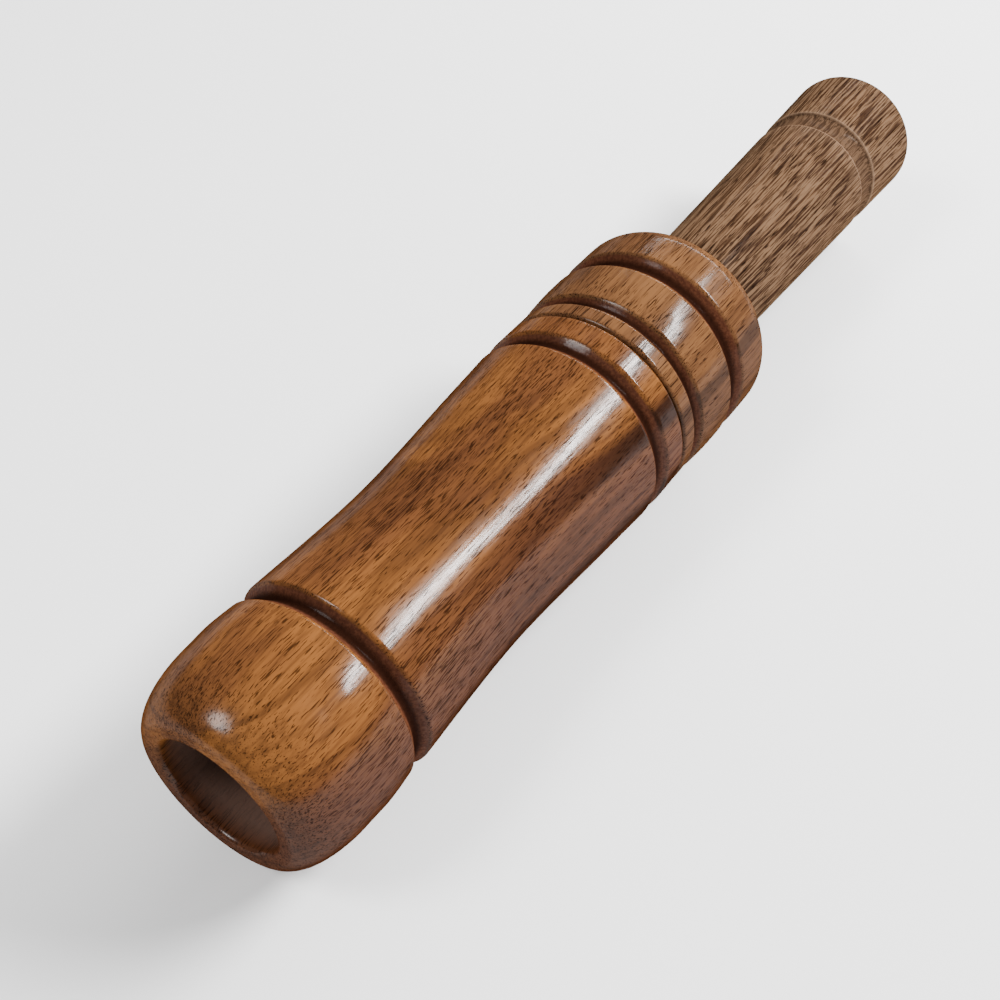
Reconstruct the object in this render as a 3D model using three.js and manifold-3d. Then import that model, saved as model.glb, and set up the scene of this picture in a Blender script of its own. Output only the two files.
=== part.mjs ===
// Duck call: a turned walnut barrel and a turned walnut insert that plugs into it.
// The insert carries a tone board, two reeds, a cork wedge and two rubber O-rings.
//
// Millimetres, +Z up. The call lies on its side with its axis along X: the mouth is at -X and the
// stem at +X. Inside this file a station is a distance along the axis from the mouth face.

import * as THREE from 'three';
import { mergeVertices } from 'three/addons/utils/BufferGeometryUtils.js';
import Module from 'manifold-3d';

// Whole call
const LENGTH = 150;
const SEGMENTS = 36;
const HALF_STEP = Math.PI / SEGMENTS;
const REST_GAP = 0.3;
const CUTTER_OVERRUN = 1;

// How a turned groove's section goes: 1 is a half wave, and lower values have steeper walls.
const COVE = 0.8;
const SLOT = 0.4;

// Barrel, outside
const MOUTH_FACE_RADIUS = 9.2;
const LIP_LENGTH = 9;
const LIP_RADIUS = 12.95;
const HEAD_CREST = 12;
const HEAD_RADIUS = 13.05;
const HEAD_END_RADIUS = 12.8;
const LANYARD_GROOVE = { start: 15.3, end: 18.3, depth: 1.1, section: COVE };
const WAIST_START_RADIUS = 12.85;
const WAIST = 36;
const WAIST_RADIUS = 12.3;
const FLARE = 54;
const FLARE_RADIUS = 13.4;
const SHOULDER_RADIUS = 13.95;
const SHOULDER_GROOVE = { start: 62.3, end: 65.4, depth: 1, section: COVE };
const SEAM_BEAD_RADIUS = 14.05;
const SEAM = 69.2;

// Barrel, inside
const RIM_OUTER_RADIUS = 8.2;
const RIM_LENGTH = 0.8;
const MOUTH_BORE_RADIUS = 7.65;
const BORE_TAPER_END = 12;
const BORE_RADIUS = 7.8;

// Insert, outside
const TENON_START = 46.4;
const TENON_RADIUS = 7.45;
const TENON_CHAMFER = 0.5;
const GLAND_RADIUS = 6.45;
const GLAND_WIDTH = 1.5;
const FRONT_GLAND = 50.2;
const REAR_GLAND = 58.2;
const COLLAR_GROOVE_1 = { start: 71.7, end: 74, depth: 0.9, section: COVE };
const MIDDLE_BEAD_START_RADIUS = 14.2;
const MIDDLE_BEAD_END_RADIUS = 14.5;
const BEAD_CROWN = 0.1;
const COLLAR_GROOVE_2 = { start: 80.6, end: 84.3, depth: 1.1, section: COVE };
const LAST_BEAD_RADIUS = 14.5;
const BULL_NOSE_START = 88.8;
const STEM_START = 93.3;
const STEM_START_RADIUS = 8.4;
const STEM_END_RADIUS = 10.25;
const STEM_GROOVE = { start: 132.9, end: 137.2, depth: 0.5, section: SLOT };
const STEM_EDGE = 0.6;

// Insert, inside
const SOCKET_RADIUS = 5.5;
const SOCKET_END = 66.7;
const EXIT_START_RADIUS = 4.6;
const EXIT_END_RADIUS = 6.6;

// Tone board, reeds and wedge. Heights are above the call's axis.
const BOARD_RADIUS = 5.15;
const BOARD_START = 10;
const BOARD_END = SOCKET_END - REST_GAP;
const LAY_HEIGHT = 0.6;
const LAY_DROP = 1.8;
const LAY_FLAT_START = 44.4;
const LAY_FLAT_END = 59.7;
const LAY_STEPS = 9;
const LAY_POWER = 1.5;
const CHANNEL_RADIUS = 2.2;
const CHANNEL_START = 14;
const REED_THICKNESS = 0.3;
const REED_HALF_WIDTH = 4.8;
const REED_TIP_RADIUS = 2;
const REED_END = 59.4;
const LONG_REED_START = 9.6;
const SHORT_REED_START = 15;
const LONG_REED_HEIGHT = LAY_HEIGHT + REST_GAP;
const SHORT_REED_HEIGHT = LONG_REED_HEIGHT + REED_THICKNESS + REST_GAP;
const WEDGE_START = 44.9;
const WEDGE_END = 58.9;
const WEDGE_BASE = SHORT_REED_HEIGHT + REED_THICKNESS + REST_GAP;
const WEDGE_RADIUS = 5.15;
const WEDGE_STEPS = 8;

// O-rings
const O_RING_RADIUS = 7.05;
const O_RING_SECTION_RADIUS = 0.5;
const O_RING_SECTION_SIDES = 8;

const wasm = await Module();
wasm.setup();

const material = (color, roughness, metalness = 0) =>
  new THREE.MeshStandardMaterial({ color, roughness, metalness });

// A profile point: how far along the axis, and how far from it.
const at = (station, radius) => new THREE.Vector2(radius, station);

// Part of an ellipse about a centre, from one angle to another, both ends included.
function ellipse(centreStation, centreRadius, alongAxis, acrossAxis, from, to, steps) {
  const points = [];
  for (let i = 0; i <= steps; i += 1) {
    const angle = THREE.MathUtils.lerp(from, to, i / steps);
    const station = centreStation + alongAxis * Math.cos(angle);
    const radius = centreRadius + acrossAxis * Math.sin(angle);
    points.push(at(station, radius));
  }
  return points;
}

// A turned groove between two stations of a surface.
function groove({ start, end, depth, section }, startRadius, endRadius) {
  const steps = 4;
  const points = [];
  for (let i = 0; i <= steps; i += 1) {
    const t = i / steps;
    const edgeRadius = THREE.MathUtils.lerp(startRadius, endRadius, t);
    const cut = depth * Math.sin(Math.PI * t) ** section;
    points.push(at(THREE.MathUtils.lerp(start, end, t), edgeRadius - cut));
  }
  return points;
}

// A smooth stretch through a few points, without its two ends.
function smooth(points, divisions) {
  return new THREE.SplineCurve(points).getPoints(divisions).slice(1, -1);
}

// The crown halfway along a bead whose two ends have their own radii.
function crown(start, end, startRadius, endRadius) {
  return at((start + end) / 2, (startRadius + endRadius) / 2 + BEAD_CROWN);
}

function welded(geometry) {
  geometry.deleteAttribute('normal');
  geometry.deleteAttribute('uv');
  const merged = mergeVertices(geometry);
  merged.computeVertexNormals();
  return merged;
}

// Turns a closed profile about the call's axis, with a flat facet facing down.
function turned(profile) {
  const closed = [...profile, profile[0].clone()];
  const geometry = new THREE.LatheGeometry(closed, SEGMENTS, HALF_STEP);
  geometry.rotateZ(-Math.PI / 2);
  return welded(geometry);
}

function toSolid(geometry) {
  const merged = welded(geometry);
  const vertProperties = new Float32Array(merged.attributes.position.array);
  const triVerts = new Uint32Array(merged.index.array);
  return new wasm.Manifold(new wasm.Mesh({ numProp: 3, vertProperties, triVerts }));
}

function toGeometry(solid) {
  const mesh = solid.getMesh();
  const geometry = new THREE.BufferGeometry();
  geometry.setAttribute('position', new THREE.BufferAttribute(mesh.vertProperties, 3));
  geometry.setIndex(new THREE.BufferAttribute(mesh.triVerts, 1));
  geometry.computeVertexNormals();
  return geometry;
}

function named(name, geometry, look) {
  const mesh = new THREE.Mesh(geometry, look);
  mesh.name = name;
  return mesh;
}

// The barrel's outside, from the mouth face to the seam.
function barrelOutside() {
  const { start: grooveStart, end: grooveEnd } = LANYARD_GROOVE;
  const lipHeight = LIP_RADIUS - MOUTH_FACE_RADIUS;
  const lip = ellipse(LIP_LENGTH, MOUTH_FACE_RADIUS, -LIP_LENGTH, lipHeight, 0, Math.PI / 2, 6);
  const head = smooth([
    at(LIP_LENGTH, LIP_RADIUS),
    at(HEAD_CREST, HEAD_RADIUS),
    at(grooveStart, HEAD_END_RADIUS),
  ], 4);
  const waist = smooth([
    at(grooveEnd, WAIST_START_RADIUS),
    at(WAIST, WAIST_RADIUS),
    at(FLARE, FLARE_RADIUS),
    at(SHOULDER_GROOVE.start, SHOULDER_RADIUS),
  ], 10);
  return [
    ...lip,
    ...head,
    ...groove(LANYARD_GROOVE, HEAD_END_RADIUS, WAIST_START_RADIUS),
    ...waist,
    ...groove(SHOULDER_GROOVE, SHOULDER_RADIUS, SEAM_BEAD_RADIUS),
    at(SEAM - REST_GAP / 2, SEAM_BEAD_RADIUS),
  ];
}

// The barrel's inside, from the seam back to the mouth face.
function barrelInside() {
  const rimHeight = RIM_OUTER_RADIUS - MOUTH_BORE_RADIUS;
  return [
    at(SEAM - REST_GAP / 2, BORE_RADIUS),
    at(BORE_TAPER_END, BORE_RADIUS),
    ...ellipse(RIM_LENGTH, RIM_OUTER_RADIUS, -RIM_LENGTH, -rimHeight, Math.PI / 2, 0, 4),
  ];
}

// One O-ring gland in the tenon.
function gland(station) {
  const start = station - GLAND_WIDTH / 2;
  const end = station + GLAND_WIDTH / 2;
  return [at(start, TENON_RADIUS), at(start, GLAND_RADIUS), at(end, GLAND_RADIUS), at(end, TENON_RADIUS)];
}

function insertOutside() {
  const seam = SEAM + REST_GAP / 2;
  const noseLength = STEM_START - BULL_NOSE_START;
  const noseHeight = LAST_BEAD_RADIUS - STEM_START_RADIUS;
  const nose = ellipse(BULL_NOSE_START, STEM_START_RADIUS, noseLength, noseHeight, Math.PI / 2, 0, 6);
  const stemSlope = (STEM_END_RADIUS - STEM_START_RADIUS) / (LENGTH - STEM_START);
  const stemRadius = (station) => STEM_START_RADIUS + stemSlope * (station - STEM_START);
  return [
    at(TENON_START, TENON_RADIUS - TENON_CHAMFER),
    at(TENON_START + TENON_CHAMFER, TENON_RADIUS),
    ...gland(FRONT_GLAND),
    ...gland(REAR_GLAND),
    at(seam, TENON_RADIUS),
    at(seam, SEAM_BEAD_RADIUS),
    ...groove(COLLAR_GROOVE_1, SEAM_BEAD_RADIUS, MIDDLE_BEAD_START_RADIUS),
    crown(COLLAR_GROOVE_1.end, COLLAR_GROOVE_2.start, MIDDLE_BEAD_START_RADIUS, MIDDLE_BEAD_END_RADIUS),
    ...groove(COLLAR_GROOVE_2, MIDDLE_BEAD_END_RADIUS, LAST_BEAD_RADIUS),
    ...nose,
    ...groove(STEM_GROOVE, stemRadius(STEM_GROOVE.start), stemRadius(STEM_GROOVE.end)),
    at(LENGTH - STEM_EDGE, STEM_END_RADIUS),
    at(LENGTH, STEM_END_RADIUS - STEM_EDGE),
  ];
}

function insertInside() {
  return [
    at(LENGTH, EXIT_END_RADIUS),
    at(SOCKET_END, EXIT_START_RADIUS),
    at(SOCKET_END, SOCKET_RADIUS),
    at(TENON_START, SOCKET_RADIUS),
  ];
}

// Extrudes an outline drawn in the call's X-Z plane across its width.
function acrossWidth(shape, halfWidth) {
  const geometry = new THREE.ExtrudeGeometry(shape, { depth: 2 * halfWidth, bevelEnabled: false });
  geometry.translate(0, 0, -halfWidth);
  geometry.rotateX(Math.PI / 2);
  return geometry;
}

// The space above the lay: flat under the wedge, then falling away towards the tip.
function layCutter() {
  const clear = 2 * BOARD_RADIUS;
  const tip = BOARD_START - CUTTER_OVERRUN;
  const shape = new THREE.Shape();
  shape.moveTo(LAY_FLAT_END, clear);
  shape.lineTo(tip, clear);
  for (let i = LAY_STEPS; i >= 0; i -= 1) {
    const t = i / LAY_STEPS;
    const station = THREE.MathUtils.lerp(LAY_FLAT_START, tip, t);
    shape.lineTo(station, LAY_HEIGHT - LAY_DROP * t ** LAY_POWER);
  }
  shape.lineTo(LAY_FLAT_END, LAY_HEIGHT);
  return acrossWidth(shape, clear);
}

// A rod or bore along the axis between two stations.
function rod(radius, start, end, sides) {
  const geometry = new THREE.CylinderGeometry(radius, radius, end - start, sides);
  geometry.rotateZ(-Math.PI / 2);
  geometry.translate((start + end) / 2, 0, 0);
  return geometry;
}

function toneBoardGeometry() {
  const channelSides = 16;
  const blank = toSolid(rod(BOARD_RADIUS, BOARD_START, BOARD_END, SEGMENTS));
  const lay = toSolid(layCutter());
  const channelEnd = BOARD_END + CUTTER_OVERRUN;
  const channel = toSolid(rod(CHANNEL_RADIUS, CHANNEL_START, channelEnd, channelSides));
  return toGeometry(blank.subtract(lay).subtract(channel));
}

// A flat reed with rounded tip corners, lying at a height above the axis.
function reedGeometry(start, height) {
  const shape = new THREE.Shape();
  shape.moveTo(REED_END, -REED_HALF_WIDTH);
  shape.lineTo(REED_END, REED_HALF_WIDTH);
  shape.lineTo(start + REED_TIP_RADIUS, REED_HALF_WIDTH);
  shape.absarc(start + REED_TIP_RADIUS, REED_HALF_WIDTH - REED_TIP_RADIUS, REED_TIP_RADIUS,
    Math.PI / 2, Math.PI, false);
  shape.absarc(start + REED_TIP_RADIUS, REED_TIP_RADIUS - REED_HALF_WIDTH, REED_TIP_RADIUS,
    Math.PI, 1.5 * Math.PI, false);
  const depth = REED_THICKNESS;
  const geometry = new THREE.ExtrudeGeometry(shape, { depth, bevelEnabled: false, curveSegments: 4 });
  geometry.translate(0, 0, height);
  return welded(geometry);
}

// A cork segment that fills the socket above the reeds.
function wedgeGeometry() {
  const baseAngle = Math.asin(WEDGE_BASE / WEDGE_RADIUS);
  const shape = new THREE.Shape();
  for (let i = 0; i <= WEDGE_STEPS; i += 1) {
    const angle = THREE.MathUtils.lerp(baseAngle, Math.PI - baseAngle, i / WEDGE_STEPS);
    const across = WEDGE_RADIUS * Math.cos(angle);
    const up = WEDGE_RADIUS * Math.sin(angle);
    if (i === 0) {
      shape.moveTo(across, up);
    } else {
      shape.lineTo(across, up);
    }
  }
  const depth = WEDGE_END - WEDGE_START;
  const geometry = new THREE.ExtrudeGeometry(shape, { depth, bevelEnabled: false });
  geometry.rotateX(Math.PI / 2);
  geometry.rotateZ(Math.PI / 2);
  geometry.translate(WEDGE_START, 0, 0);
  return welded(geometry);
}

function oRingGeometry(station) {
  const profile = [];
  for (let i = 0; i < O_RING_SECTION_SIDES; i += 1) {
    const angle = (2 * Math.PI * i) / O_RING_SECTION_SIDES;
    const radius = O_RING_RADIUS - O_RING_SECTION_RADIUS * Math.cos(angle);
    profile.push(at(station - O_RING_SECTION_RADIUS * Math.sin(angle), radius));
  }
  return turned(profile);
}

const walnut = material(0x6e4b32, 0.25);
const stemWalnut = material(0x7d6450, 0.4);
const acrylic = material(0x1c1c1e, 0.3);
const mylar = material(0xd9d4c6, 0.35);
const cork = material(0xb98d5a, 0.9);
const rubber = material(0x151515, 0.7);

const call = new THREE.Group();
call.add(named('barrel', turned([...barrelOutside(), ...barrelInside()]), walnut));
call.add(named('insert', turned([...insertOutside(), ...insertInside()]), stemWalnut));
call.add(named('tone_board', toneBoardGeometry(), acrylic));
call.add(named('long_reed', reedGeometry(LONG_REED_START, LONG_REED_HEIGHT), mylar));
call.add(named('short_reed', reedGeometry(SHORT_REED_START, SHORT_REED_HEIGHT), mylar));
call.add(named('wedge', wedgeGeometry(), cork));
call.add(named('front_o_ring', oRingGeometry(FRONT_GLAND), rubber));
call.add(named('rear_o_ring', oRingGeometry(REAR_GLAND), rubber));

// The origin is under the middle of the call, on the surface that it lies on.
const lowest = new THREE.Box3().setFromObject(call).min.z;
call.position.set(-LENGTH / 2, 0, -lowest);

const group = new THREE.Group();
group.add(call);

export default group;
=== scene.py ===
"""A turned walnut duck call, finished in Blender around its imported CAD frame."""

import math

import bmesh
import bpy
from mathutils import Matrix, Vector


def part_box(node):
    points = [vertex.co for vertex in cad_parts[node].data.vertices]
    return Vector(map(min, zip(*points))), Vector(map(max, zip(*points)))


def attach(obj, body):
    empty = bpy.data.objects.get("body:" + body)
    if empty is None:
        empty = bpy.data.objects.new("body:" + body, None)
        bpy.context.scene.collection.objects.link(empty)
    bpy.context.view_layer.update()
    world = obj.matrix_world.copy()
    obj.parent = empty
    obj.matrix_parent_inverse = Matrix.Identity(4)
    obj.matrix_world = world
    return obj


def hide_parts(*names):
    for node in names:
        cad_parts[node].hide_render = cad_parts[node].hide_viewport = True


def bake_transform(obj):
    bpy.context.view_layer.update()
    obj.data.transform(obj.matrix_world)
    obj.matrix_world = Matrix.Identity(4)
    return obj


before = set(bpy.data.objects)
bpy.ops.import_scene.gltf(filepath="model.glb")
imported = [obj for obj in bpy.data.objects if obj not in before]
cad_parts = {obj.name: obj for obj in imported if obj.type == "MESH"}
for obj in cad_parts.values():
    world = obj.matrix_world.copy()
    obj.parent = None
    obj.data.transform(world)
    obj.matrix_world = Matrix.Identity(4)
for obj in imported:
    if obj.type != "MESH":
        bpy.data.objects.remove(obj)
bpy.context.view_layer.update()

# Where the call lies. Stations are distances along the axis from the mouth face, in metres.
MM = 0.001
BARREL_LOW, BARREL_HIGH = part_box("barrel")
INSERT_LOW, INSERT_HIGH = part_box("insert")
MOUTH_X = BARREL_LOW.x
AXIS_Z = (BARREL_LOW.z + BARREL_HIGH.z) / 2
SEAM = BARREL_HIGH.x - MOUTH_X
LENGTH = INSERT_HIGH.x - MOUTH_X
TENON_START = INSERT_LOW.x - MOUTH_X
AXIS_POINT = Vector((0, 0, AXIS_Z))

# Turned profiles
AROUND = 192
SEAM_GAP = 0.3 * MM
# A groove's section is half a sine wave raised to one of these powers. Above 1 the walls slope in to a
# narrow round floor, and below 1 they are steep beside a flat one. The CAD's coves have a lower power.
COVE = 1.4
SLOT = 0.4
# A corner that turns by more than CORNER_TURN gets points CORNER_REACH to each side of it, so that
# rounding keeps it tight. An edge shorter than SUPPORTED_EDGE has no room for them.
CORNER_TURN = math.radians(12)
CORNER_REACH = 0.4 * MM
SUPPORTED_EDGE = 2.2 * CORNER_REACH
CUT_SHARE = 0.25
SAME_POINT = 0.0001 * MM
SHARP_EDGE = math.radians(38)
# The colour of the call's inside comes in over this length, from the rim inward. The inside is what lies
# within the bore's wall ahead of the stem, which takes in the tenon as well as the bores.
BORE_SHADE = 2 * MM
BORE_MARGIN = 0.1 * MM
# The stem's band has pale lines at both edges. They are partly rubbed bare wood and partly painted
# highlight where the step's wall catches light.
BAND_EDGE_WEAR_AND_HIGHLIGHT_WIDTH = 0.3 * MM
MOUTH_FACE_RADIUS = 9.2 * MM
LIP_LENGTH = 9 * MM
LIP_RADIUS = 12.95 * MM
HEAD_CREST = 12 * MM
HEAD_RADIUS = 13.05 * MM
HEAD_END_RADIUS = 12.8 * MM
LANYARD_GROOVE = (15.3 * MM, 18.3 * MM, 1.1 * MM, COVE)
WAIST_START_RADIUS = 12.85 * MM
WAIST = 36 * MM
WAIST_RADIUS = 12.3 * MM
FLARE = 54 * MM
FLARE_RADIUS = 13.4 * MM
SHOULDER_RADIUS = 13.95 * MM
SHOULDER_GROOVE = (62.3 * MM, 65.4 * MM, 1.0 * MM, COVE)
SEAM_BEAD_RADIUS = 14.05 * MM
RIM_OUTER_RADIUS = 8.2 * MM
RIM_LENGTH = 0.8 * MM
MOUTH_BORE_RADIUS = 7.65 * MM
BORE_TAPER_END = 12 * MM
BORE_RADIUS = 7.8 * MM
TENON_RADIUS = 7.45 * MM
TENON_CHAMFER = 0.5 * MM
GLAND_RADIUS = 6.45 * MM
GLAND_WIDTH = 1.5 * MM
GLANDS = (50.2 * MM, 58.2 * MM)
COLLAR_GROOVE_1 = (71.7 * MM, 74 * MM, 0.9 * MM, COVE)
MIDDLE_BEAD_START_RADIUS = 14.2 * MM
MIDDLE_BEAD_END_RADIUS = 14.5 * MM
BEAD_CROWN = 0.1 * MM
COLLAR_GROOVE_2 = (80.6 * MM, 84.3 * MM, 1.1 * MM, COVE)
LAST_BEAD_RADIUS = 14.5 * MM
BULL_NOSE_START = 88.8 * MM
STEM_START = 93.3 * MM
STEM_START_RADIUS = 8.4 * MM
STEM_END_RADIUS = 10.25 * MM
STEM_GROOVE = (132.9 * MM, 137.2 * MM, 0.5 * MM, SLOT)
STEM_EDGE = 0.6 * MM
SOCKET_RADIUS = 5.5 * MM
SOCKET_END = 66.7 * MM
EXIT_START_RADIUS = 4.6 * MM
EXIT_END_RADIUS = 6.6 * MM

# Tone board and reeds, with heights above the axis
LAY_HEIGHT = 0.6 * MM
LAY_DROP = 1.8 * MM
LAY_FLAT_START = 44.4 * MM
LAY_FLAT_END = 59.7 * MM
LAY_POWER = 1.5
CHANNEL_RADIUS = 2.2 * MM
CHANNEL_START = 14 * MM
ROD_AROUND = 96
LAY_STEPS = 48
CUTTER_OVERRUN = 1 * MM
REED_THICKNESS = 0.25 * MM
REED_TIP_RADIUS = 2.2 * MM
REED_STEPS = 60
REED_COLUMNS = 12
# Rows of a reed's mesh crowd toward its tip, where its outline turns.
REED_CROWDING = 1.6
WEDGE_STEPS = 24
WEDGE_BEVEL = 0.15 * MM
SEAL_AROUND = 128
SEAL_STEPS = 24

# Where the pith of the tree was: this far toward -Y, and this far below the floor under the call
PITH_SIDE = 18 * MM
PITH_BELOW = 24 * MM
RING_WARP = 9 * MM

# Walnut. The colours are linear.
BARREL_WOOD = {
    "golden": [0.172, 0.0645, 0.0165, 1],
    "brown": [0.066, 0.0235, 0.0105, 1],
    "dark": [0.014, 0.0048, 0.0024, 1],
    "pore_length": 2.0,
    "pore_depth": 0.72,
    "coat": 0.75,
    "roughness": 0.46,
}
INSERT_WOOD = {
    "golden": [0.135, 0.059, 0.0225, 1],
    "brown": [0.075, 0.0325, 0.0145, 1],
    "dark": [0.018, 0.0075, 0.0038, 1],
    "pore_length": 3.2,
    "pore_depth": 0.85,
    "coat": 0.5,
    "roughness": 0.55,
}
# Dark streaks: distance from the pith, half width, strength, and where along X each begins to come in
BARREL_STREAKS = [
    (46.5 * MM, 2.2 * MM, 0.95, MOUTH_X + 22 * MM),
    (36 * MM, 2.4 * MM, 0.75, MOUTH_X),
]
INSERT_STREAKS = [(44 * MM, 1.4 * MM, 0.6, MOUTH_X)]
STREAK_FADE = 30 * MM
HEARTWOOD_END = 42 * MM
SAPWOOD_START = 51 * MM
SAPWOOD_WANDER = 14 * MM
# The wood turns browner across this range of Y.
BROWN_SIDE = (2 * MM, 13 * MM)
SATIN_EDGE = (MOUTH_X + STEM_START - 0.6 * MM, MOUTH_X + STEM_START + 0.4 * MM)
FIBRE_DARK = [0.015, 0.0082, 0.0052, 1]
FIBRE_PALE = [0.120, 0.071, 0.0405, 1]
GROOVE_RED_DARK = [0.050, 0.0165, 0.0085, 1]
GROOVE_RED_LIGHT = [0.078, 0.0275, 0.0138, 1]
# The next colour is painted shade: the near black that the grooves' deepest floors are darkened to.
GROOVE_FLOOR_PAINTED_SHADE = [0.010, 0.0034, 0.0019, 1]
BAND_COLOUR = [0.046, 0.0265, 0.016, 1]
# The next colour is partly wear and partly painted highlight, for the stem band's edges.
BAND_EDGE_WEAR_AND_HIGHLIGHT = [0.30, 0.19, 0.12, 1]
BORE_COLOUR = [0.105, 0.064, 0.050, 1]
LACQUER_IOR = 1.33
WOOD_RELIEF = 0.06 * MM
LACQUER_RELIEF = 0.03 * MM

# Camera: how the call's axis lies in the picture, and the mouth's place from the camera. Its left and
# below are shares of its depth.
AXIS_TILT = math.radians(34.94)
AXIS_IMAGE_ANGLE = math.radians(46.39)
MOUTH_DEPTH = 128.6 * MM
MOUTH_LEFT = 0.2167
MOUTH_BELOW = 0.2289
CAMERA_LENS = 47.16
SENSOR_WIDTH = 36

# Stage. The floor is in metres. KEY_LOWERED leans the key light further over than the camera.
FLOOR_SIZE = 4
FLOOR_GREY = 0.94
WORLD_STRENGTH = 0.38
KEY_LOWERED = 1.35


# ---------------------------------------------------------------- profiles

def ellipse(centre, radius, along, across, start, end, steps=14):
    """Part of an ellipse about (centre, radius), from one angle to another."""
    points = []
    for i in range(steps + 1):
        angle = start + (end - start) * i / steps
        points.append((centre + along * math.cos(angle), radius + across * math.sin(angle)))
    return points


def catmull(points, steps):
    """A smooth line through a few points, without its two ends."""
    padded = [points[0], *points, points[-1]]
    line = []
    for i in range(1, len(padded) - 2):
        a, b, c, d = padded[i - 1:i + 3]
        for k in range(steps):
            t = k / steps
            line.append(tuple(
                0.5 * (2 * q + (r - p) * t + (2 * p - 5 * q + 4 * r - s) * t * t
                       + (3 * q - p - 3 * r + s) * t ** 3)
                for p, q, r, s in zip(a, b, c, d)))
    return line[1:]


def groove(shape, start_radius, end_radius, steps=12):
    """A groove cut into an outline that runs straight between two radii."""
    start, end, depth, section = shape
    points = []
    for i in range(steps + 1):
        t = i / steps
        surface = start_radius + (end_radius - start_radius) * t
        cut_depth = depth * math.sin(math.pi * t) ** section
        points.append((start + (end - start) * t, surface - cut_depth))
    return points


def gland(station):
    """The flat-bottomed groove that one O-ring sits in."""
    low, high = station - GLAND_WIDTH / 2, station + GLAND_WIDTH / 2
    return [(low, TENON_RADIUS), (low, GLAND_RADIUS), (high, GLAND_RADIUS), (high, TENON_RADIUS)]


def barrel_profile():
    start, end = LANYARD_GROOVE[:2]
    lip_height = LIP_RADIUS - MOUTH_FACE_RADIUS
    head = [(LIP_LENGTH, LIP_RADIUS), (HEAD_CREST, HEAD_RADIUS), (start, HEAD_END_RADIUS)]
    waist = [(end, WAIST_START_RADIUS), (WAIST, WAIST_RADIUS), (FLARE, FLARE_RADIUS),
             (SHOULDER_GROOVE[0], SHOULDER_RADIUS)]
    rim = RIM_OUTER_RADIUS - MOUTH_BORE_RADIUS
    shade_share = BORE_SHADE / (BORE_TAPER_END - RIM_LENGTH)
    shade_radius = MOUTH_BORE_RADIUS + (BORE_RADIUS - MOUTH_BORE_RADIUS) * shade_share
    return [
        *ellipse(LIP_LENGTH, MOUTH_FACE_RADIUS, -LIP_LENGTH, lip_height, 0, math.pi / 2),
        *catmull(head, 10),
        *groove(LANYARD_GROOVE, HEAD_END_RADIUS, WAIST_START_RADIUS),
        *catmull(waist, 10),
        *groove(SHOULDER_GROOVE, SHOULDER_RADIUS, SEAM_BEAD_RADIUS),
        (SEAM - SEAM_GAP, SEAM_BEAD_RADIUS),
        (SEAM, SEAM_BEAD_RADIUS - SEAM_GAP),
        (SEAM, BORE_RADIUS + SEAM_GAP),
        (SEAM - SEAM_GAP, BORE_RADIUS),
        (BORE_TAPER_END, BORE_RADIUS),
        (RIM_LENGTH + BORE_SHADE, shade_radius),
        *ellipse(RIM_LENGTH, RIM_OUTER_RADIUS, -RIM_LENGTH, -rim, math.pi / 2, 0),
    ]


def insert_profile():
    seam = SEAM + SEAM_GAP
    slope = (STEM_END_RADIUS - STEM_START_RADIUS) / (LENGTH - STEM_START)
    stem = [STEM_START_RADIUS + slope * (s - STEM_START) for s in STEM_GROOVE[:2]]
    crown = ((COLLAR_GROOVE_1[1] + COLLAR_GROOVE_2[0]) / 2,
             (MIDDLE_BEAD_START_RADIUS + MIDDLE_BEAD_END_RADIUS) / 2 + BEAD_CROWN)
    bead = [(COLLAR_GROOVE_1[1], MIDDLE_BEAD_START_RADIUS), crown,
            (COLLAR_GROOVE_2[0], MIDDLE_BEAD_END_RADIUS)]
    return [
        (TENON_START, TENON_RADIUS - TENON_CHAMFER),
        (TENON_START + TENON_CHAMFER, TENON_RADIUS),
        *gland(GLANDS[0]),
        *gland(GLANDS[1]),
        (seam, TENON_RADIUS),
        (seam, SEAM_BEAD_RADIUS - SEAM_GAP),
        (seam + SEAM_GAP, SEAM_BEAD_RADIUS),
        *groove(COLLAR_GROOVE_1, SEAM_BEAD_RADIUS, MIDDLE_BEAD_START_RADIUS),
        *catmull(bead, 6),
        *groove(COLLAR_GROOVE_2, MIDDLE_BEAD_END_RADIUS, LAST_BEAD_RADIUS),
        *ellipse(BULL_NOSE_START, STEM_START_RADIUS, STEM_START - BULL_NOSE_START,
                 LAST_BEAD_RADIUS - STEM_START_RADIUS, math.pi / 2, 0, 12),
        *groove(STEM_GROOVE, *stem),
        *ellipse(LENGTH - STEM_EDGE, STEM_END_RADIUS - STEM_EDGE, STEM_EDGE, STEM_EDGE,
                 math.pi / 2, 0, 4),
        *ellipse(LENGTH - STEM_EDGE, EXIT_END_RADIUS + STEM_EDGE, STEM_EDGE, -STEM_EDGE,
                 0, math.pi / 2, 4),
        (SOCKET_END, EXIT_START_RADIUS),
        (SOCKET_END, SOCKET_RADIUS),
        (TENON_START, SOCKET_RADIUS),
    ]


def turn(a, b, c):
    """How far an outline turns at b, in radians."""
    change = math.atan2(c[1] - b[1], c[0] - b[0]) - math.atan2(b[1] - a[1], b[0] - a[0])
    return abs(math.remainder(change, 2 * math.pi))


def supported(points):
    """The closed outline with points added beside its corners, so that rounding keeps them tight."""
    points = [p for i, p in enumerate(points) if math.dist(p, points[i - 1]) > SAME_POINT]
    count = len(points)
    out = []
    for i, here in enumerate(points):
        after = points[(i + 1) % count]
        length = math.dist(here, after)
        out.append(here)
        near_start = turn(points[i - 1], here, after) > CORNER_TURN
        near_end = turn(here, after, points[(i + 2) % count]) > CORNER_TURN
        shares = [CORNER_REACH / length] * near_start + [1 - CORNER_REACH / length] * near_end
        if length > SUPPORTED_EDGE:
            out.extend((here[0] + (after[0] - here[0]) * k, here[1] + (after[1] - here[1]) * k)
                       for k in shares)
    return out


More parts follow.
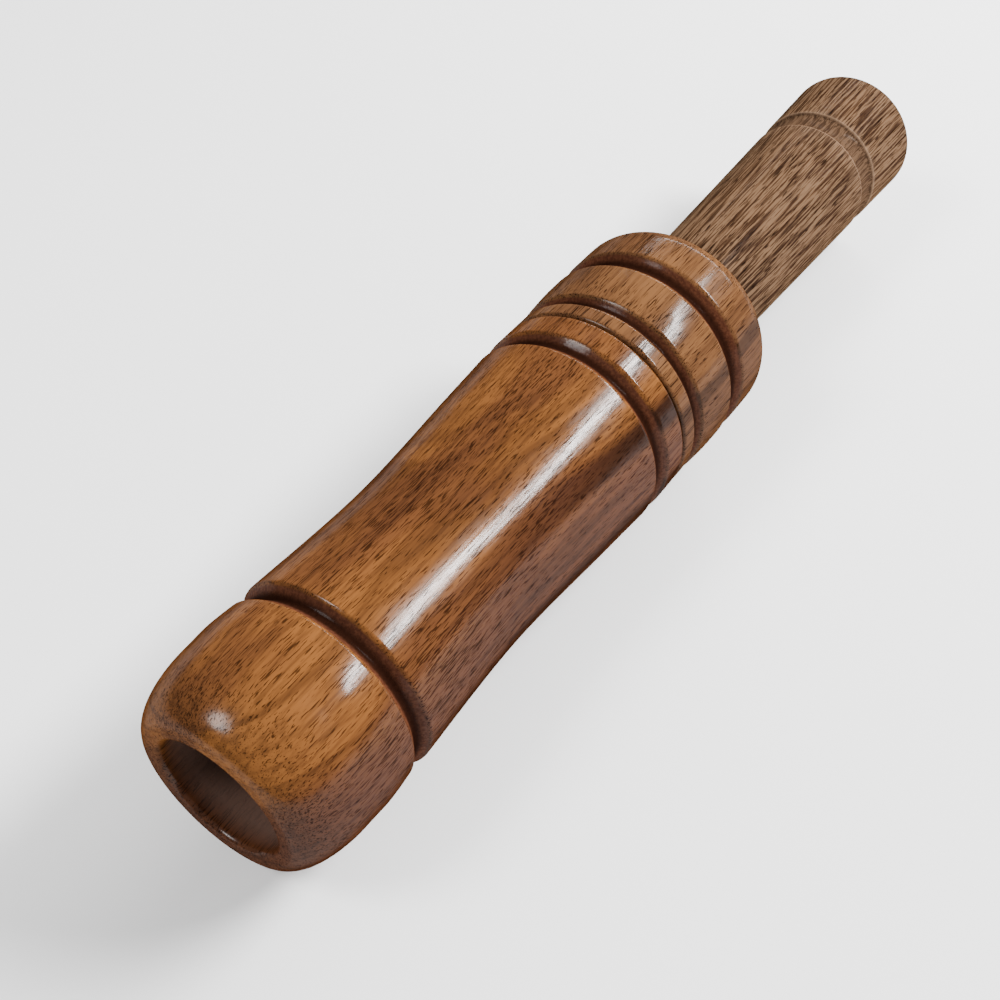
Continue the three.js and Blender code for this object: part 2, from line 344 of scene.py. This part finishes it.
def rounded(points):
    """One pass of corner cutting round a closed outline."""
    out = []
    near, far = 1 - CUT_SHARE, CUT_SHARE
    for i, a in enumerate(points):
        b = points[(i + 1) % len(points)]
        out.append((a[0] * near + b[0] * far, a[1] * near + b[1] * far))
        out.append((a[0] * far + b[0] * near, a[1] * far + b[1] * near))
    return out


# ---------------------------------------------------------------- meshes

def in_row(station, across, up):
    """A point in the frame from its station, and its place across and above the axis."""
    return Vector((MOUTH_X + station, across, AXIS_Z + up))


def object_from(name, mesh, look):
    mesh.materials.append(look)
    made = bpy.data.objects.new(name, mesh)
    bpy.context.scene.collection.objects.link(made)
    return made


def finished_mesh(name, work):
    bmesh.ops.recalc_face_normals(work, faces=work.faces)
    for face in work.faces:
        face.smooth = True
    for edge in work.edges:
        edge.smooth = len(edge.link_faces) == 2 and edge.calc_face_angle(0) < SHARP_EDGE
    mesh = bpy.data.meshes.new(name)
    work.to_mesh(mesh)
    work.free()
    return mesh


def turned(name, profile, look, around=AROUND):
    """A closed outline of (station, radius) points, turned about the axis."""
    work = bmesh.new()
    rings = []
    for station, radius in profile:
        ring = []
        for k in range(around):
            angle = 2 * math.pi * k / around
            across, up = radius * math.sin(angle), radius * math.cos(angle)
            ring.append(work.verts.new(in_row(station, across, up)))
        rings.append(ring)
    for i, ring in enumerate(rings):
        following = rings[(i + 1) % len(rings)]
        for k in range(around):
            n = (k + 1) % around
            work.faces.new((ring[k], ring[n], following[n], following[k]))
    return object_from(name, finished_mesh(name, work), look)


def mark_cuts(piece, grooves):
    """Stores how deep each point lies in a groove, how far inside the call, the stem's band, and the
    band's edges, which get pale lines of wear with painted highlight.
    """
    names = ("groove", "bore", "band", "band_edge_wear_and_highlight")
    layers = {name: piece.data.attributes.new(name, "FLOAT", "POINT").data for name in names}
    band_start, band_end = STEM_GROOVE[:2]
    for i, vertex in enumerate(piece.data.vertices):
        station = vertex.co.x - MOUTH_X
        radius = math.hypot(vertex.co.y, vertex.co.z - AXIS_Z)
        if radius < BORE_RADIUS + BORE_MARGIN:
            if station < STEM_START:
                layers["bore"][i].value = min(1.0, max(0.0, (station - RIM_LENGTH) / BORE_SHADE))
            continue
        for (start, end, depth, _), surface in grooves:
            if start <= station <= end:
                layers["groove"][i].value = min(1.0, max(0.0, (surface - radius) / depth))
        layers["band"][i].value = float(band_start <= station <= band_end)
        nearest = min(abs(station - band_start), abs(station - band_end))
        layers["band_edge_wear_and_highlight"][i].value = max(0.0, 1.0 - nearest / BAND_EDGE_WEAR_AND_HIGHLIGHT_WIDTH)


def prism(outline, low, high, place):
    """A closed solid: an outline swept from low to high, with place turning its points into the row."""
    work = bmesh.new()
    rings = [[work.verts.new(place(u, v, depth)) for u, v in outline] for depth in (low, high)]
    count = len(outline)
    for k in range(count):
        n = (k + 1) % count
        work.faces.new((rings[0][k], rings[0][n], rings[1][n], rings[1][k]))
    work.faces.new(rings[0])
    work.faces.new(rings[1])
    return work


def cut(piece, cutter):
    """Takes the cutter's shape out of a piece for good, and removes the cutter."""
    modifier = piece.modifiers.new("cut", "BOOLEAN")
    modifier.operation = "DIFFERENCE"
    modifier.solver = "EXACT"
    modifier.object = cutter
    graph = bpy.context.evaluated_depsgraph_get()
    mesh = bpy.data.meshes.new_from_object(piece.evaluated_get(graph))
    piece.modifiers.clear()
    piece.data = mesh
    bpy.data.objects.remove(cutter)


def tone_board(look):
    """A rod with a lay that falls away to the tip, and a sound channel with a round end."""
    low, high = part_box("tone_board")
    start, end = low.x - MOUTH_X, high.x - MOUTH_X
    radius = (high.y - low.y) / 2
    turns = [2 * math.pi * k / ROD_AROUND for k in range(ROD_AROUND)]
    circle = [(radius * math.cos(a), radius * math.sin(a)) for a in turns]
    blank = prism(circle, start, end, lambda u, v, d: in_row(d, u, v))
    piece = object_from("tone_board_rod", finished_mesh("tone_board_rod", blank), look)
    tip = start - CUTTER_OVERRUN
    lay = [(LAY_FLAT_END, 2 * radius), (tip, 2 * radius)]
    for i in range(LAY_STEPS, -1, -1):
        t = i / LAY_STEPS
        lay.append((LAY_FLAT_START + (tip - LAY_FLAT_START) * t, LAY_HEIGHT - LAY_DROP * t ** LAY_POWER))
    lay.append((LAY_FLAT_END, LAY_HEIGHT))
    cutter = prism(lay, -2 * radius, 2 * radius, lambda u, v, d: in_row(u, d, v))
    cut(piece, object_from("lay_cutter", finished_mesh("lay_cutter", cutter), look))
    work = bmesh.new()
    bmesh.ops.create_uvsphere(work, u_segments=64, v_segments=32, radius=CHANNEL_RADIUS)
    for vertex in work.verts:
        x, y, z = vertex.co
        station = CHANNEL_START + CHANNEL_RADIUS + z
        vertex.co = in_row(station if z <= 0 else station + end, x, y)
    cut(piece, object_from("channel_cutter", finished_mesh("channel_cutter", work), look))
    work = bmesh.new()
    work.from_mesh(piece.data)
    old = piece.data
    piece.data = finished_mesh("tone_board_rod", work)
    piece.data.materials.append(look)
    bpy.data.meshes.remove(old)
    return piece


def reed_outline(start, end, half_width, clipped):
    """Half of a reed's plan as (station, half width), from tip to tail."""
    outline = []
    for i in range(REED_STEPS + 1):
        t = (i / REED_STEPS) ** REED_CROWDING
        station = start + (end - start) * t
        gone = station - start
        if clipped:
            width = min(half_width, half_width - REED_TIP_RADIUS + gone)
        else:
            reach = max(0.0, REED_TIP_RADIUS - gone)
            width = half_width - REED_TIP_RADIUS + math.sqrt(REED_TIP_RADIUS ** 2 - reach ** 2)
        outline.append((station, width))
    return outline


def reed(name, node, look, clipped):
    low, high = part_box(node)
    bottom = low.z - AXIS_Z
    work = bmesh.new()
    columns = REED_COLUMNS
    layers = []
    for height in (bottom, bottom + REED_THICKNESS):
        rows = []
        for station, width in reed_outline(low.x - MOUTH_X, high.x - MOUTH_X, high.y, clipped):
            rows.append([work.verts.new(in_row(station, width * (2 * c / columns - 1), height))
                         for c in range(columns + 1)])
        layers.append(rows)
    for rows in layers:
        for a, b in zip(rows, rows[1:]):
            for c in range(columns):
                work.faces.new((a[c], a[c + 1], b[c + 1], b[c]))
    lower, upper = layers
    last = len(lower) - 1
    border = [(0, c) for c in range(columns)] + [(r, columns) for r in range(last)]
    border += [(last, c) for c in range(columns, 0, -1)] + [(r, 0) for r in range(last, 0, -1)]
    for i, (r, c) in enumerate(border):
        s, d = border[(i + 1) % len(border)]
        work.faces.new((lower[r][c], lower[s][d], upper[s][d], upper[r][c]))
    return object_from(name, finished_mesh(name, work), look)


def cork_wedge(look):
    low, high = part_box("wedge")
    base, top = low.z - AXIS_Z, high.z - AXIS_Z
    edge = math.asin(base / top)
    turns = [edge + (math.pi - 2 * edge) * k / WEDGE_STEPS for k in range(WEDGE_STEPS + 1)]
    outline = [(top * math.cos(a), top * math.sin(a)) for a in turns]
    work = prism(outline, low.x - MOUTH_X, high.x - MOUTH_X, lambda u, v, d: in_row(d, u, v))
    bmesh.ops.bevel(work, geom=list(work.edges), offset=WEDGE_BEVEL, segments=2, affect="EDGES",
                    clamp_overlap=True)
    return object_from("cork_wedge", finished_mesh("cork_wedge", work), look)


def seal(name, node, look):
    low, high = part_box(node)
    section = (high.x - low.x) / 2
    station = (low.x + high.x) / 2 - MOUTH_X
    ring_radius = (high.z - low.z) / 2 - section
    turns = [2 * math.pi * k / SEAL_STEPS for k in range(SEAL_STEPS)]
    profile = [(station + section * math.cos(a), ring_radius + section * math.sin(a)) for a in turns]
    return turned(name, profile, look, SEAL_AROUND)


# ---------------------------------------------------------------- materials

class Nodes:
    """A short way to add shader nodes and join them."""

    def __init__(self, name):
        self.material = bpy.data.materials.new(name)
        self.material.use_nodes = True
        self.tree = self.material.node_tree
        self.shader = self.tree.nodes["Principled BSDF"]

    def add(self, kind, settings=None, **inputs):
        made = self.tree.nodes.new(kind)
        for key, value in (settings or {}).items():
            setattr(made, key, value)
        for key, value in inputs.items():
            self.join(value, made.inputs[key.replace("_", " ")])
        return made

    def join(self, value, socket):
        if isinstance(value, bpy.types.NodeSocket):
            self.tree.links.new(value, socket)
        else:
            socket.default_value = value

    def maths(self, operation, a, b=0.0, clamp=False):
        made = self.tree.nodes.new("ShaderNodeMath")
        made.operation = operation
        made.use_clamp = clamp
        self.join(a, made.inputs[0])
        self.join(b, made.inputs[1])
        return made.outputs[0]

    def scaled(self, value, amount):
        return self.maths("MULTIPLY", value, amount)

    def centred(self, value, amount):
        """Noise made to swing about zero, by half the amount to each side."""
        return self.scaled(self.maths("SUBTRACT", value, 0.5), amount)

    def mix(self, factor, a, b):
        """A mix of two colours. Its colour sockets come after those for numbers and vectors."""
        made = self.tree.nodes.new("ShaderNodeMix")
        made.data_type = "RGBA"
        self.join(factor, made.inputs[0])
        self.join(a, made.inputs[6])
        self.join(b, made.inputs[7])
        return made.outputs[2]

    def tint(self, colour, toward, mask, strength):
        return self.mix(self.scaled(mask, strength), colour, toward)

    def stored(self, name):
        """A value that mark_cuts stored in the mesh."""
        return self.add("ShaderNodeAttribute", {"attribute_name": name}).outputs["Fac"]

    def ramp(self, factor, low, high):
        made = self.tree.nodes.new("ShaderNodeMapRange")
        made.interpolation_type = "SMOOTHSTEP"
        self.join(factor, made.inputs["Value"])
        made.inputs["From Min"].default_value = low
        made.inputs["From Max"].default_value = high
        return made.outputs["Result"]

    def object_space(self):
        return self.add("ShaderNodeTexCoord").outputs["Object"]

    def noise(self, scale, detail=3.0, offset=(0, 0, 0), where=None):
        """Noise in the object's own space. The scale is cycles for each millimetre along X, Y and Z."""
        where = where or self.object_space()
        mapped = self.add("ShaderNodeMapping", Vector=where)
        mapped.inputs["Location"].default_value = offset
        mapped.inputs["Scale"].default_value = [s / MM for s in scale]
        made = self.add("ShaderNodeTexNoise", Vector=mapped.outputs[0])
        made.inputs["Scale"].default_value = 1.0
        made.inputs["Detail"].default_value = detail
        return made.outputs["Fac"]

    def set(self, **inputs):
        for key, value in inputs.items():
            self.join(value, self.shader.inputs[key.replace("_", " ")])

    def bump(self, height, distance, strength=1.0):
        made = self.add("ShaderNodeBump", Height=height)
        made.inputs["Distance"].default_value = distance
        made.inputs["Strength"].default_value = strength
        return made.outputs[0]


def growth(n, x, y, z):
    """The warped distance from the pith, and the broad bands and fine lines of growth along it."""
    warp = n.centred(n.noise((0.016, 0.03, 0.03), 2, (7, 3, 1)), RING_WARP)
    to_side = n.maths("ADD", y, PITH_SIDE)
    to_pith = n.maths("ADD", z, PITH_BELOW)
    squares = n.maths("ADD", n.maths("MULTIPLY", to_side, to_side), n.maths("MULTIPLY", to_pith, to_pith))
    ring = n.maths("ADD", n.maths("SQRT", squares), warp)
    grain = n.add("ShaderNodeCombineXYZ", X=ring, Y=n.scaled(x, 0.02)).outputs[0]
    bands = n.noise((0.16, 0.16, 1), 2, (3, 2, 0), grain)
    lines = n.noise((0.8, 0.8, 1), 4, (5, 8, 0), grain)
    return ring, bands, lines


def cut_colours(n, colour, grooved, bored):
    """Colours the grooves, the stem's band and the call's inside by what mark_cuts stored, painting shade
    into the grooves' deep floors and pale lines of wear with painted highlight on the band's edges.
    """
    torn = n.noise((2.6, 2.6, 2.6), 3, (1, 1, 7))
    red = n.mix(n.ramp(torn, 0.35, 0.65), GROOVE_RED_DARK, GROOVE_RED_LIGHT)
    colour = n.mix(n.ramp(grooved, 0.08, 0.35), colour, red)
    # Painted shade: the grooves' floors turn near black with depth.
    colour = n.tint(colour, GROOVE_FLOOR_PAINTED_SHADE, n.ramp(grooved, 0.45, 0.95), 0.92)
    colour = n.tint(colour, BAND_COLOUR, n.stored("band"), 0.48)
    # Pale lines at the band's edges: partly wear, partly painted highlight.
    colour = n.tint(colour, BAND_EDGE_WEAR_AND_HIGHLIGHT, n.stored("band_edge_wear_and_highlight"), 0.4)
    return n.tint(colour, BORE_COLOUR, bored, 0.8)


def lacquer(n, coat, dull, pore, fine):
    """A clear coat, thinner over pores and dull places, and less glossy where it is seen edge on."""
    facing = n.add("ShaderNodeLayerWeight", Blend=0.5).outputs["Facing"]
    edge_on = n.maths("MULTIPLY", n.maths("POWER", facing, 0.9), 1.2, clamp=True)
    gloss = n.scaled(n.maths("SUBTRACT", 1.0, dull), coat)
    gloss = n.scaled(n.maths("SUBTRACT", 1.0, edge_on), gloss)
    gloss = n.scaled(n.maths("SUBTRACT", 1.0, n.scaled(pore, 0.7)), gloss)
    wiped = n.noise((0.2, 0.5, 0.5), 3, (6, 6, 1))
    n.set(Coat_Weight=gloss, Coat_IOR=LACQUER_IOR)
    n.set(Coat_Roughness=n.maths("ADD", n.scaled(wiped, 0.24), 0.05))
    n.set(Coat_Normal=n.bump(fine, LACQUER_RELIEF, 0.4))


def walnut(name, wood, streaks):
    """Walnut with growth rings about a pith below the call, so that turning cuts across them."""
    n = Nodes(name)
    x, y, z = n.add("ShaderNodeSeparateXYZ", Vector=n.object_space()).outputs
    ring, bands, lines = growth(n, x, y, z)
    fine = n.noise((0.06, 2.4, 2.4), 4, (2, 9, 4))
    patches = n.noise((0.04, 0.12, 0.12), 2, (8, 2, 5))
    fibre = n.noise((0.02, 3.6, 3.6), 4, (4, 4, 9))
    golden, brown, dark = wood["golden"], wood["brown"], wood["dark"]

    sapwood = n.maths("ADD", ring, n.centred(bands, SAPWOOD_WANDER))
    colour = n.mix(n.ramp(sapwood, HEARTWOOD_END, SAPWOOD_START), brown, golden)
    colour = n.tint(colour, brown, n.ramp(y, *BROWN_SIDE), 0.6)
    colour = n.tint(colour, dark, n.ramp(lines, 0.48, 0.70), 0.55)
    for centre, half_width, strength, begins in streaks:
        away = n.maths("ABSOLUTE", n.maths("SUBTRACT", ring, centre))
        edge = n.scaled(n.ramp(away, half_width, half_width * 0.4), strength)
        colour = n.tint(colour, dark, edge, n.ramp(x, begins, begins + STREAK_FADE))
    colour = n.tint(colour, brown, n.ramp(patches, 0.42, 0.62), 0.6)
    colour = n.tint(colour, dark, n.ramp(fine, 0.42, 0.68), 0.42)

    # The stem is satin, with its fibres bare.
    satin = n.ramp(x, *SATIN_EDGE)
    bare = n.mix(n.ramp(fibre, 0.40, 0.58), FIBRE_DARK, FIBRE_PALE)
    colour = n.tint(colour, bare, satin, 0.84)

    pores = n.noise((1 / wood["pore_length"], 7.5, 7.5), 1, (1, 6, 2))
    pore = n.ramp(n.maths("ADD", pores, n.centred(patches, 0.25)), 0.56, 0.66)
    colour = n.tint(colour, [c * 0.2 for c in dark[:3]] + [1], pore, wood["pore_depth"])
    grooved, bored = n.stored("groove"), n.stored("bore")
    colour = cut_colours(n, colour, grooved, bored)

    dull = n.maths("MAXIMUM", n.maths("MAXIMUM", grooved, bored), n.scaled(satin, 0.94))
    surface = n.maths("SUBTRACT", n.scaled(fine, 0.45), pore)
    n.set(Base_Color=colour, Roughness=wood["roughness"], Specular_IOR_Level=0.0)
    n.set(Normal=n.bump(surface, WOOD_RELIEF, 0.6))
    lacquer(n, wood["coat"], dull, pore, fine)
    return n.material


def plastic(name, colour, roughness):
    n = Nodes(name)
    marks = n.noise((0.6, 4.0, 4.0), 4)
    wear = n.noise((0.15, 0.2, 0.2), 3, (3, 1, 2))
    n.set(Base_Color=n.mix(n.ramp(wear, 0.4, 0.7), colour, [c * 1.5 for c in colour[:3]] + [1]))
    n.set(Roughness=n.maths("ADD", n.maths("MULTIPLY", marks, 0.15), roughness))
    n.set(Normal=n.bump(marks, 0.01 * MM, 0.3))
    return n.material


def reed_film(name):
    n = Nodes(name)
    brushed = n.noise((0.3, 6.0, 6.0), 3)
    n.set(Base_Color=n.mix(brushed, [0.62, 0.59, 0.50, 1], [0.80, 0.78, 0.70, 1]))
    n.set(Roughness=n.maths("ADD", n.maths("MULTIPLY", brushed, 0.2), 0.22))
    n.set(Subsurface_Weight=0.25, Normal=n.bump(brushed, 0.004 * MM, 0.3))
    return n.material


def cork(name):
    n = Nodes(name)
    grain = n.noise((1.4, 1.4, 1.4), 5)
    pits = n.ramp(n.noise((2.6, 2.6, 2.6), 3, (4, 4, 4)), 0.58, 0.68)
    colour = n.mix(grain, [0.42, 0.25, 0.11, 1], [0.66, 0.45, 0.24, 1])
    n.set(Base_Color=n.mix(pits, colour, [0.16, 0.08, 0.035, 1]), Roughness=0.9)
    n.set(Normal=n.bump(n.maths("SUBTRACT", grain, pits), 0.15 * MM, 0.8))
    return n.material


def rubber(name):
    n = Nodes(name)
    dust = n.noise((1.2, 1.2, 1.2), 4)
    n.set(Base_Color=n.mix(dust, [0.012, 0.012, 0.013, 1], [0.035, 0.034, 0.033, 1]))
    n.set(Roughness=n.maths("ADD", n.maths("MULTIPLY", dust, 0.2), 0.5))
    n.set(Normal=n.bump(dust, 0.02 * MM, 0.4))
    return n.material


# ---------------------------------------------------------------- pieces

def place(piece, body, node, slot):
    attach(piece, body)
    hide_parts(node)


def build():
    barrel_wood = walnut("barrel_walnut", BARREL_WOOD, BARREL_STREAKS)
    insert_wood = walnut("insert_walnut", INSERT_WOOD, INSERT_STREAKS)

    barrel = turned("barrel_turning", rounded(rounded(supported(barrel_profile()))), barrel_wood)
    mark_cuts(barrel, [(LANYARD_GROOVE, HEAD_END_RADIUS), (SHOULDER_GROOVE, SHOULDER_RADIUS)])
    place(barrel, "barrel", "barrel", "barrel_wood")

    insert = turned("insert_turning", rounded(rounded(supported(insert_profile()))), insert_wood)
    mark_cuts(insert, [(COLLAR_GROOVE_1, SEAM_BEAD_RADIUS), (COLLAR_GROOVE_2, LAST_BEAD_RADIUS)])
    place(insert, "insert", "insert", "insert_wood")

    place(tone_board(plastic("board_plastic", [0.016, 0.016, 0.018, 1], 0.22)),
          "insert", "tone_board", "tone_board")
    place(cork_wedge(cork("wedge_cork")), "insert", "wedge", "cork")

    film = reed_film("reed_film")
    for name, node, clipped in (("long_reed_film", "long_reed", False),
                                ("short_reed_film", "short_reed", True)):
        piece = reed(name, node, film, clipped)
        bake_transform(piece)
        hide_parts(node)

    seal_rubber = rubber("seal_rubber")
    for name, node in (("front_seal", "front_o_ring"), ("rear_seal", "rear_o_ring")):
        place(seal(name, node, seal_rubber), "seal_rings", node, "rubber")


# ---------------------------------------------------------------- stage

def view_axes():
    """The camera's right, up and back, from how the call's axis lies in the picture."""
    slope = math.tan(AXIS_IMAGE_ANGLE)
    toward = math.sin(AXIS_TILT)
    rise = math.sqrt(slope ** 2 * (1 - toward ** 2) / (toward ** 2 + slope ** 2))
    back = Vector((-toward, -math.sqrt(1 - rise ** 2 - toward ** 2), rise))
    right = Vector((-back.y, back.x, 0)).normalized()
    return right, back.cross(right), back


def camera():
    right, up, back = view_axes()
    data = bpy.data.cameras.new("camera")
    data.lens = CAMERA_LENS
    data.sensor_width = SENSOR_WIDTH
    made = bpy.data.objects.new("camera", data)
    made.location = in_row(0, 0, 0) + (right * MOUTH_LEFT + up * MOUTH_BELOW + back) * MOUTH_DEPTH
    made.rotation_mode = "QUATERNION"
    made.rotation_quaternion = (-back).to_track_quat("-Z", "Y")
    bpy.context.scene.collection.objects.link(made)
    bpy.context.scene.camera = made


def area_light(name, direction, distance, size, power):
    """An elliptical light that faces the call from a direction, with its width and height as size."""
    data = bpy.data.lights.new(name, "AREA")
    data.shape = "ELLIPSE"
    data.size, data.size_y = size
    data.energy = power
    made = bpy.data.objects.new(name, data)
    made.location = AXIS_POINT + direction.normalized() * distance
    made.rotation_mode = "QUATERNION"
    made.rotation_quaternion = (-direction).to_track_quat("-Z", "Y")
    bpy.context.scene.collection.objects.link(made)


def stage():
    bpy.ops.mesh.primitive_plane_add(size=FLOOR_SIZE, location=(0, 0, 0))
    floor = bpy.context.object
    floor.name = "floor"
    n = Nodes("floor_paint")
    n.set(Base_Color=[FLOOR_GREY, FLOOR_GREY, FLOOR_GREY, 1], Roughness=0.95, Specular_IOR_Level=0.0)
    floor.data.materials.append(n.material)
    world = bpy.data.worlds.new("studio")
    bpy.context.scene.world = world
    world.use_nodes = True
    background = world.node_tree.nodes["Background"]
    background.inputs["Color"].default_value = (1, 1, 1, 1)
    background.inputs["Strength"].default_value = WORLD_STRENGTH
    # The key strip mirrors the camera along the call, from a little lower on the camera's side.
    back = view_axes()[2]
    facing = Vector((0, back.y * KEY_LOWERED, back.z)).normalized()
    key = facing * math.cos(AXIS_TILT) + Vector((1, 0, 0)) * math.sin(AXIS_TILT)
    area_light("key_strip", key, distance=0.6, size=(0.34, 0.05), power=11)
    area_light("fill", Vector((-0.8, 0.5, 1.1)), distance=0.7, size=(0.24, 0.24), power=4)
    # The back light is wide and low, so that the grooves' rims catch it.
    area_light("back", Vector((1.0, 0.05, 0.55)), distance=0.7, size=(0.8, 0.05), power=7)


build()
stage()
camera()
